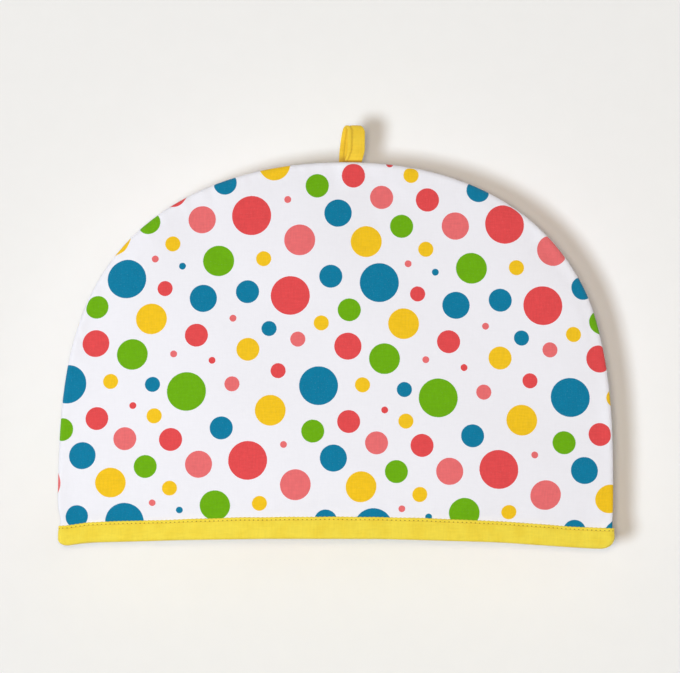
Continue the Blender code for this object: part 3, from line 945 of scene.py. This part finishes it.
def half_ring(s, b, offset, height, outside):
    """Half of a ring round the walls, from the right-hand seam over the front to the left."""
    x = 1 - 2 * np.arange(LINE_STEPS + 1) / LINE_STEPS
    ends = slice(None, CORNER_STEPS), slice(-CORNER_STEPS, None)
    if outside:
        bead = s.hem_thickness / 2
        reach, middle, widest = s.half_width - bead, s.seam_gap + bead, 90
        face = s.seam_gap + s.hem_thickness + offset
        right, left = [bead + offset[end] for end in ends]
    else:
        reach, middle, widest = inner_reach(s, b), 0.0, 80
        face = s.seam_gap - offset
        right, left = [face[end] + belly(s, reach, height[end]) for end in ends]
    turn = np.radians(widest * np.arange(1, CORNER_STEPS + 1) / CORNER_STEPS)
    x *= reach
    inner = slice(CORNER_STEPS, -CORNER_STEPS)
    y = -face[inner] - belly(s, x, height[inner])
    bend = turn[::-1]
    return np.concatenate([
        [reach + right * np.sin(bend), -middle - right * np.cos(bend)], [x, y],
        [-reach - left * np.sin(turn), -middle - left * np.cos(turn)]], axis=1)


def inner_reach(s, b):
    """Half-length of the inner leg: it turns where the walls leave room for both its layers."""
    room = b.cloth + b.clearance + 0.0002
    share = (room / s.belly) ** (1 / s.belly_power) * (1 - s.seam_allowance) + s.seam_allowance
    return s.half_width * (1 - share) ** (1 / s.side_power)


def full_ring(s, b, offset, height, outside):
    """x, y and side of a ring round both walls; offset and height are given per point."""
    half = len(offset) // 2
    front = half_ring(s, b, offset[:half], height[:half], outside)
    back = -half_ring(s, b, offset[half:], height[half:], outside)
    side = np.repeat([FRONT, BACK], half)
    return np.concatenate([front[0], back[0]]), np.concatenate([front[1], back[1]]), side


class Tape:
    """The binding's run round the hem: length along it, and points at any offset and height."""

    def __init__(self, s, b):
        self.s, self.b = s, b
        self.count = 2 * (LINE_STEPS + 1 + 2 * CORNER_STEPS)
        self.outside = b.clearance + b.cloth
        zero, mid_height = np.zeros(self.count), 0.010
        x, y, _ = full_ring(s, b, zero + self.outside, zero + mid_height, True)
        step = np.hypot(np.diff(x, append=x[0]), np.diff(y, append=y[0]))
        self.along = np.concatenate([[0.0], np.cumsum(step)[:-1]])
        self.length = float(step.sum())
        rise = smooth(1 - np.abs(np.clip(x, -s.half_width, s.half_width)) / s.half_width)
        self.top = (b.side_height + (b.middle_height - b.side_height) * rise
                    + self.waves(23, TAPE_EDGE))
        self.stitches = round(self.length / b.stitch_pitch)
        self.pitch = self.length / self.stitches

    def waves(self, seed, kinds):
        """Seeded waves along the tape that meet where its run closes."""
        turn = 2 * math.pi * self.along / self.length
        return sum(tall * np.sin(round(self.length / length) * turn + phase)
                   for length, tall, _, phase in seeded_waves(seed, kinds))

    def drawn(self, height, inside):
        """Relief of the tape: soft waves, and the pull of the stitching."""
        b, pull_reach = self.b, 0.0011
        waves = (0.4 if inside else 1.0) * self.waves(71, TAPE_FACE) * smooth(height / 0.004)
        line = self.top - b.stitch_inset
        holes = 0.5 + 0.5 * np.cos(2 * math.pi * self.along / self.pitch)
        pull = b.pull * np.exp(-((height - line) / pull_reach) ** 2) * (0.35 + 0.65 * holes)
        return b.crown * np.sin(math.pi * np.clip(height / line, 0, 1)) + waves - pull

    def ring(self, offset, height, outside):
        """Points of the ring at an offset from the wall and a height over the hem."""
        x, y, side = full_ring(self.s, self.b, offset, height, outside)
        out_x, out_z = leaned(self.s, x, height)
        return rounded_ends(self.s, np.stack([out_x, y, out_z + hem_lift(self.s, x, side)], axis=1))


def leg_rows(b, top, outside, steps):
    """One leg of the tape, from behind its upper edge down to the middle of the fold.

    Each row is its offset from the wall, its height, its leg, and whether the relief shows in it.
    """
    half_cloth, fold, face = b.cloth / 2, b.fold_radius, b.clearance + b.cloth
    rows = []
    for turn in np.radians((150, 120, 90, 60, 30)):
        rows.append((b.clearance + half_cloth * (1 + math.cos(turn)),
                     top - half_cloth + half_cloth * math.sin(turn), outside, math.cos(turn) > 0))
    for f in np.linspace(1, 0, steps):
        rows.append((face, fold + (top - half_cloth - fold) * f, outside, True))
    for turn in np.radians((22.5, 45, 67.5, 90)):
        rows.append((face - fold + fold * math.cos(turn),
                     0 * top + fold - fold * math.sin(turn), outside, False))
    return rows


def build_binding(name, material_maker):
    scene = bpy.context.scene
    s, b = scene.cosy_shape, scene.cosy_binding
    tape = Tape(s, b)
    zero = np.zeros(tape.count)
    top = tape.top + b.peak * np.cos(2 * math.pi * tape.along / tape.pitch)
    # Down the outer leg, round the fold, up the inner leg, and back between the legs.
    rows = leg_rows(b, top, True, 13) + leg_rows(b, top, False, 9)[::-1]
    visible = len(rows)
    hidden_top, hidden_foot = top - b.cloth / 2, zero + b.cloth
    for height, outside in ((hidden_top, False), (hidden_foot, False), (hidden_foot, True),
                            (hidden_top, True)):
        rows.append((b.clearance, height, outside, False))
    loops = []
    for offset, height, outside, shown in rows:
        drawn = tape.drawn(height, not outside) if shown else zero
        loops.append(tape.ring(zero + offset + drawn, height, outside))
    points = np.concatenate(loops)
    number = np.arange(len(points)).reshape(len(rows), tape.count)
    faces = np.concatenate([grid_faces(number[i], number[(i + 1) % len(rows)], closed=True)
                            for i in range(len(rows))])
    piece = object_from(name, points, faces)
    mesh = piece.data

    # Length across the tape, from its outer upper edge.
    across = [0.0]
    for first, second in zip(loops, loops[1:]):
        across.append(across[-1] + float(np.median(np.linalg.norm(second - first, axis=1))))
    round_again = across[-1] + 0.012
    vertex, face = corner_lists(mesh)
    row_of, step_of = vertex // tape.count, vertex % tape.count
    face_row, face_step = np.divmod(np.arange(len(faces)), tape.count)
    wrapped = (step_of == 0) & (face_step[face] == tape.count - 1)
    along = tape.along[step_of] + wrapped * tape.length
    back_again = (row_of == 0) & (face_row[face] == len(rows) - 1)
    over = np.array(across)[row_of] + back_again * round_again
    store(mesh, "cloth_place", "FLOAT_VECTOR", "CORNER", along, over, 0 * over)
    bands = 4
    share = bands * face_step[face] // tape.count
    store_uv(mesh, np.clip(bands * along / tape.length - share, 0, 1),
             (share + 0.02 + 0.96 * over / round_again) / bands)
    width = across[visible - 1]
    rim = 0.6 * MM  # from the hidden side of an edge to its top
    # Painted shade at each needle hole of the stitching and at each pulled place of the upper
    # edges.
    marks = [(place, half_length, 0.55 * MM, depth)
             for inset, half_length, depth in ((rim + b.stitch_inset, 0.75 * MM, 0.85),
                                               (rim, 0.85 * MM, 0.45))
             for place in (inset, width - inset)]
    mesh.materials.append(material_maker((tape.pitch, marks)))
    return piece, tape, width


# Threads


def one_stitch(length, diameter):
    """One stitch along X, thin where it dives into the cloth, as a mesh of a few dozen faces."""
    deselect()
    bpy.ops.mesh.primitive_cylinder_add(vertices=6, radius=diameter / 2, depth=length,
                                        rotation=(0, math.pi / 2, 0))
    thread = bpy.context.object
    bpy.ops.object.transform_apply(location=True, rotation=True, scale=True)
    bpy.ops.object.mode_set(mode="EDIT")
    bpy.ops.mesh.select_all(action="DESELECT")
    bm = bmesh.from_edit_mesh(thread.data)
    for end in bm.edges:
        if abs(end.verts[0].co.x - end.verts[1].co.x) > 0.5 * length:
            end.select_set(True)
    bmesh.update_edit_mesh(thread.data)
    bpy.ops.mesh.subdivide(number_cuts=4)
    bpy.ops.object.mode_set(mode="OBJECT")
    thinning, dive = 0.45, 0.55 * diameter
    for vert in thread.data.vertices:
        share = min(abs(vert.co.x) / (length / 2), 1.0)
        slim = 1 - thinning * share ** 4
        vert.co.y *= slim
        vert.co.z = vert.co.z * slim - dive * share ** 2
    bpy.ops.object.shade_smooth()
    return thread


def row_of_stitches(name, pattern, runs, material):
    """Copies of one stitch between each pair of needle holes, joined into one piece.

    runs holds (first point, second point, direction away from the cloth) for each stitch.
    """
    copies = []
    for first, second, away in runs:
        along = (second - first).normalized()
        out = (away - along * away.dot(along)).normalized()
        turn = Matrix((along, out.cross(along), out)).transposed().to_4x4()
        mesh = pattern.data.copy()
        mesh.transform(Matrix.Translation((first + second) / 2) @ turn)
        copy = bpy.data.objects.new(name, mesh)
        bpy.context.scene.collection.objects.link(copy)
        copies.append(copy)
    deselect()
    for copy in copies:
        copy.select_set(True)
    bpy.context.view_layer.objects.active = copies[0]
    bpy.ops.object.join()
    piece = bpy.context.object
    piece.name = name
    piece.data.name = name
    piece.data.materials.clear()
    piece.data.materials.append(material)
    return piece


def binding_runs(tape, outside):
    """Where each stitch of the binding lies, on its outer or its inner leg."""
    b = tape.b
    zero = np.zeros(tape.count)
    height = tape.top - b.stitch_inset
    drawn = tape.drawn(height, not outside)
    surface, raised = [tape.ring(zero + tape.outside + drawn + out, height, outside)
                       for out in (0.10 * MM, 1.10 * MM)]
    along = np.append(tape.along, tape.length)
    runs = []

    def at(values, where):
        values = np.concatenate([values, values[:1]])
        return Vector([float(np.interp(where % tape.length, along, column))
                       for column in values.T])

    hole = 0.13  # share of the pitch from a needle hole's middle to its rim
    for stitch in range(tape.stitches):
        start, stop = (stitch + hole) * tape.pitch, (stitch + 1 - hole) * tape.pitch
        first, second = at(surface, start), at(surface, stop)
        runs.append((first, second, at(raised, start) - first))
    return runs


# Strap


def left_of(path):
    """Unit vectors square to a path in a plane, to its left."""
    along = np.gradient(path, axis=0)
    along /= np.linalg.norm(along, axis=1)[:, None]
    return np.stack([-along[:, 1], along[:, 0]], axis=1)


def strap_path(strap):
    """Middle line of the strap in the YZ plane, from the front leg's foot over the top."""
    half, steps = strap.thickness / 2, 72
    rise = (strap.top - strap.thickness - strap.eye_foot) / 2
    eye = []
    for turn in 2 * math.pi * np.arange(1, steps) / steps:
        lift = 1 - math.cos(turn)
        eye.append((-strap.eye_half * math.sin(turn) * float(smooth(lift / 1.3)),
                    strap.eye_foot + rise * lift))
    eye = np.array(eye)
    eye = eye + half * left_of(eye)
    legs = np.linspace(strap.tab_foot, strap.eye_foot, 9)
    front = np.stack([np.full(9, -half), legs], axis=1)
    back = np.stack([np.full(9, half), legs[::-1]], axis=1)
    return np.concatenate([front, eye, back])


def strap_section(strap, share):
    """Places across the strap, and heights over its middle at each share of its length.

    The section has a folded edge, a stitch line that runs nearer the edge at the front leg's foot,
    and a flat.
    """
    ridge_height, groove_depth, crown = 0.00040, 0.00034, 0.00012
    half, thick, dense = strap.width / 2, strap.thickness / 2, 0.75
    place = np.sin(np.linspace(-math.pi / 2, math.pi / 2, 33))
    place = np.concatenate([place[place < -dense], np.linspace(-dense, dense, 31),
                            place[place > dense]])
    body = thick * np.sqrt(np.maximum(1 - np.abs(place) ** 14, 0))
    line = strap_line(strap, share)[:, None]
    ridge = np.sin(math.pi * np.clip((place + 1) / (line + 1), 0, 1)) ** 0.8
    ridge *= ridge_height * (1 - 0.8 * np.exp(-((share - 0.5) / 0.07) ** 2))[:, None]
    groove = groove_depth * np.exp(-((place - line) / 0.10) ** 2)
    flat = crown * np.cos(math.pi * np.clip((place - 0.25) / 1.5, -0.5, 0.5))
    over, under = body + ridge - groove + flat, groove - body
    across = np.concatenate([place * half, (place * half)[-2:0:-1]])
    return across, np.concatenate([over, under[:, -2:0:-1]], axis=1)


def strap_line(strap, share):
    """Place of the stitch line across the strap, as a share of half its width."""
    return strap.stitch_at - 0.20 * smooth((0.30 - share) / 0.20)


def strap_frames(strap):
    """Path, outward direction, length so far, share of it, and sideways place."""
    path = strap_path(strap)
    steps = np.concatenate([[0.0], np.cumsum(np.linalg.norm(np.diff(path, axis=0), axis=1))])
    share = steps / steps[-1]
    # The front leg leans to the right on its way up, the loop turns back over to the left, and
    # the back leg comes down further left.
    down = np.clip((share - 0.56) / 0.34, 0, 1)
    middle = (strap.front_x + (strap.top_x - strap.front_x) * smooth((share - 0.08) / 0.17)
              + (strap.over_x - strap.top_x) * smooth((share - 0.42) / 0.14)
              + (strap.back_x - strap.over_x) * (1 - (1 - down) ** 2))
    return path, left_of(path), steps, share, middle


def build_strap(name):
    strap = bpy.context.scene.cosy_strap
    path, out, steps, share, middle = strap_frames(strap)
    across, height = strap_section(strap, share)
    slim = 1 - 0.07 * np.exp(-((share - 0.5) / 0.055) ** 2)
    x = middle[:, None] + slim[:, None] * across
    y, z = [path[:, k, None] + out[:, k, None] * height for k in range(2)]
    points = np.stack([x, y, z], axis=-1).reshape(-1, 3)
    count = len(across)
    number = np.arange(len(points)).reshape(-1, count)
    faces = [grid_faces(first, second, closed=True) for first, second in zip(number, number[1:])]
    half = (count + 2) // 2
    for end in (number[0], number[-1]):
        lower = np.concatenate([end[:1], end[half:][::-1], end[half - 1:half]])
        faces.append(grid_faces(end[:half], lower))
    piece = object_from(name, points, np.concatenate(faces))
    mesh = piece.data
    vertex, face = corner_lists(mesh)
    around = np.concatenate([[0.0], np.cumsum(np.hypot(np.diff(across), np.diff(height[20])))])
    total, length = around[-1] + 0.0004, float(steps[-1])
    first, place = vertex // count, vertex % count
    wrapped = (place == 0) & (face % count == count - 1)
    over, along = around[place] + wrapped * total, steps[first]
    from_line = across[place] - strap_line(strap, share[first]) * strap.width / 2
    store(mesh, "cloth_place", "FLOAT_VECTOR", "CORNER", along, over, from_line)
    store_uv(mesh, 0.01 + 0.98 * along / length, 0.01 + 0.98 * np.clip(over / total, 0, 1))
    stop = length - SEAM_TAB
    # Painted shade where the front leg runs into the seam under the rolled edge, where the back
    # leg's foot closes on it, and along the stitched crease.
    shades = ((SEAM_TAB, SEAM_TAB + 1.5 * MM, 0.80, 0.0), (stop - 6.0 * MM, stop, 0.0, 0.65))
    mesh.materials.append(yellow_cotton("Dyed cotton strap", strap.colour, shades=shades,
                                        crease=(1.1 * MM, STRAP_STITCH, 0.34)))
    return piece, length


def strap_runs(strap):
    """Stitches in the strap's groove, from the seam over the loop and back to the seam."""
    path, out, steps, share, middle = strap_frames(strap)
    across = strap_line(strap, share) * strap.width / 2
    level = strap.thickness / 2 - 0.00026
    x = middle + across
    y, z = path[:, 0] + out[:, 0] * level, path[:, 1] + out[:, 1] * level

    def at(where):
        return Vector([float(np.interp(where, steps, values)) for values in (x, y, z)])

    runs = []
    hole = 0.14  # share of a stitch's room from a needle hole's middle to its rim
    for stitch in range(int(steps[-1] / STRAP_STITCH)):
        start, stop = (stitch + hole) * STRAP_STITCH, (stitch + 1 - hole) * STRAP_STITCH
        middle_out = [float(np.interp((start + stop) / 2, steps, out[:, k])) for k in range(2)]
        runs.append((at(start), at(stop), Vector((0.0, *middle_out))))
    return runs


# Stage


def add_sheets(stage):
    """The floor and the backdrop, far wider than the view."""
    paper = backdrop_paper(stage.paper)
    for name, location, turn in (("floor", (0, 0, -0.0002), 0),
                                 ("backdrop", (0, stage.backdrop, 0), math.pi / 2)):
        deselect()
        bpy.ops.mesh.primitive_plane_add(size=24, location=location, rotation=(turn, 0, 0))
        sheet = bpy.context.object
        sheet.name = name
        bpy.ops.object.transform_apply(location=True, rotation=True, scale=True)
        sheet.data.materials.append(paper)
        sheet.visible_shadow = False
        # The floor throws no light on the backdrop, so the two stay one even tone.
        sheet.visible_diffuse = name != "floor"


def add_lights(scene, stage, aim):
    """The surrounding light, and round lamps turned to the middle of the view."""
    world = scene.world or bpy.data.worlds.new("Soft surround")
    scene.world = world
    world.use_nodes = True
    surround = world.node_tree.nodes["Background"]
    surround.inputs["Color"].default_value = (1.0, 0.95, 0.89, 1.0)
    surround.inputs["Strength"].default_value = stage.ambient
    # Name, place from the middle of the view, power in watts, diameter, and colour.
    for name, offset, power, size, colour in (
            ("key light", Vector((-1.19, -5.5, -0.67)), stage.key, 0.95, (0.81, 0.90, 0.97)),
            ("front fill", Vector((-0.12, -5.6, -0.08)), stage.fill, 0.6, (1.0, 0.86, 0.67)),
            ("side fill", Vector((1.4, -5.3, 1.0)), 0.14 * stage.fill, 2.5, (1.0, 0.90, 0.78)),
            ("left rim", Vector((-3.0, 0.25, 1.2)), 26.0, 1.0, (1.0, 1.0, 0.98)),
            ("right rim", Vector((3.0, 0.25, 1.5)), 17.0, 1.0, (1.0, 0.92, 0.82)),
            ("under fill", Vector((-0.3, -0.25, -3.0)), 7.5, 1.0, (1.0, 0.95, 0.80)),
            ("back fill", Vector((0.8, 3.2, 1.2)), 8.0, 2.0, (1.0, 0.99, 0.97))):
        light = bpy.data.lights.new(name, "AREA")
        light.shape = "DISK"
        light.size = size
        light.energy = power
        light.color = colour
        lamp = bpy.data.objects.new(name, light)
        scene.collection.objects.link(lamp)
        lamp.location = aim + offset
        lamp.rotation_euler = (-offset).to_track_quat("-Z", "Y").to_euler()


def add_camera(scene, stage, aim):
    """A far camera low over the floor that sees the stated width at the cosy."""
    camera = bpy.data.objects.new("camera", bpy.data.cameras.new("camera"))
    scene.collection.objects.link(camera)
    place = Vector((stage.view_x, -stage.distance, stage.camera_height))
    pitch = math.atan2(stage.view_z - stage.camera_height, stage.distance)
    camera.matrix_world = (Matrix.Translation(place)
                           @ Matrix.Rotation(math.pi / 2 + pitch, 4, "X")
                           @ Matrix.Rotation(stage.roll, 4, "Z"))
    camera.data.sensor_width = 36.0
    camera.data.lens = camera.data.sensor_width * (aim - place).length / stage.view_width
    camera.data.clip_end = 60.0
    scene.camera = camera


# Operators


def belong(piece, node=None):
    """The piece rides on the one body, and may stand in for a solid, which is then hidden."""
    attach(piece, "root")
    if node:
        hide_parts(node)


class COSY_OT_stage(bpy.types.Operator):
    """Set up the floor, the backdrop, the soft lights and the camera"""

    bl_idname = "cosy.stage"
    bl_label = "Stage"

    def execute(self, context):
        scene = context.scene
        stage = scene.cosy_stage
        aim = Vector((stage.view_x, 0.0, stage.view_z))
        add_sheets(stage)
        add_lights(scene, stage, aim)
        add_camera(scene, stage, aim)
        scene.view_settings.view_transform = "Standard"
        return {"FINISHED"}


class COSY_OT_panels(bpy.types.Operator):
    """Make the two padded panels in printed cotton"""

    bl_idname = "cosy.panels"
    bl_label = "Padded panels"

    def execute(self, context):
        colours = context.scene.cosy_print
        materials = (printed_cotton(colours), plain_cotton(colours))
        for name, node, side in (("padded_front", "front_panel", FRONT),
                                 ("padded_back", "back_panel", BACK)):
            piece = build_panel(name, side, materials)
            belong(piece, node)
        return {"FINISHED"}


class COSY_OT_binding(bpy.types.Operator):
    """Fold the yellow tape round the hem and topstitch it"""

    bl_idname = "cosy.binding"
    bl_label = "Hem binding"

    def execute(self, context):
        b = context.scene.cosy_binding
        piece, tape, width = build_binding(
            "hem_tape", lambda stitch: yellow_cotton("Dyed cotton bias tape", b.colour, stitch))
        belong(piece, "hem_binding")
        thread = sewing_thread(b.thread_colour)
        pattern = one_stitch(0.80 * tape.pitch, b.thread)
        for name, outside in (("topstitch_outside", True), ("topstitch_inside", False)):
            row = row_of_stitches(name, pattern, binding_runs(tape, outside), thread)
            belong(row)
        bpy.data.objects.remove(pattern)
        return {"FINISHED"}


class COSY_OT_strap(bpy.types.Operator):
    """Make the hanging strap and its edge stitching"""

    bl_idname = "cosy.strap"
    bl_label = "Hanging strap"

    def execute(self, context):
        scene = context.scene
        strap = scene.cosy_strap
        piece, length = build_strap("hanging_strap")
        belong(piece, "hanging_loop")
        pattern = one_stitch(0.75 * STRAP_STITCH, 0.8 * scene.cosy_binding.thread)
        row = row_of_stitches("strap_stitching", pattern, strap_runs(strap),
                              sewing_thread(scene.cosy_binding.thread_colour))
        bpy.data.objects.remove(pattern)
        belong(row)
        return {"FINISHED"}


class COSY_PT_panel(bpy.types.Panel):
    """Lists the pieces of the tea cosy"""

    bl_idname = "COSY_PT_panel"
    bl_label = "Tea cosy"
    bl_space_type = "VIEW_3D"
    bl_region_type = "UI"
    bl_category = "Tea cosy"

    def draw(self, context):
        for operator in (COSY_OT_stage, COSY_OT_panels, COSY_OT_binding, COSY_OT_strap):
            self.layout.operator(operator.bl_idname)


GROUPS = (("cosy_shape", CosyShape), ("cosy_print", CosyPrint), ("cosy_binding", CosyBinding),
          ("cosy_strap", CosyStrap), ("cosy_stage", CosyStage))
CLASSES = (COSY_OT_stage, COSY_OT_panels, COSY_OT_binding, COSY_OT_strap, COSY_PT_panel)


def register():
    for name, group in GROUPS:
        bpy.utils.register_class(group)
        setattr(bpy.types.Scene, name, PointerProperty(type=group))
    for made in CLASSES:
        bpy.utils.register_class(made)


def unregister():
    for made in reversed(CLASSES):
        bpy.utils.unregister_class(made)
    for name, group in reversed(GROUPS):
        delattr(bpy.types.Scene, name)
        bpy.utils.unregister_class(group)


def main():
    register()
    for leftover in ("Cube", "Light", "Camera"):
        if leftover in bpy.data.objects:
            bpy.data.objects.remove(bpy.data.objects[leftover])
    bpy.ops.cosy.stage()
    bpy.ops.cosy.panels()
    bpy.ops.cosy.binding()
    bpy.ops.cosy.strap()


if __name__ == "__main__":
    main()
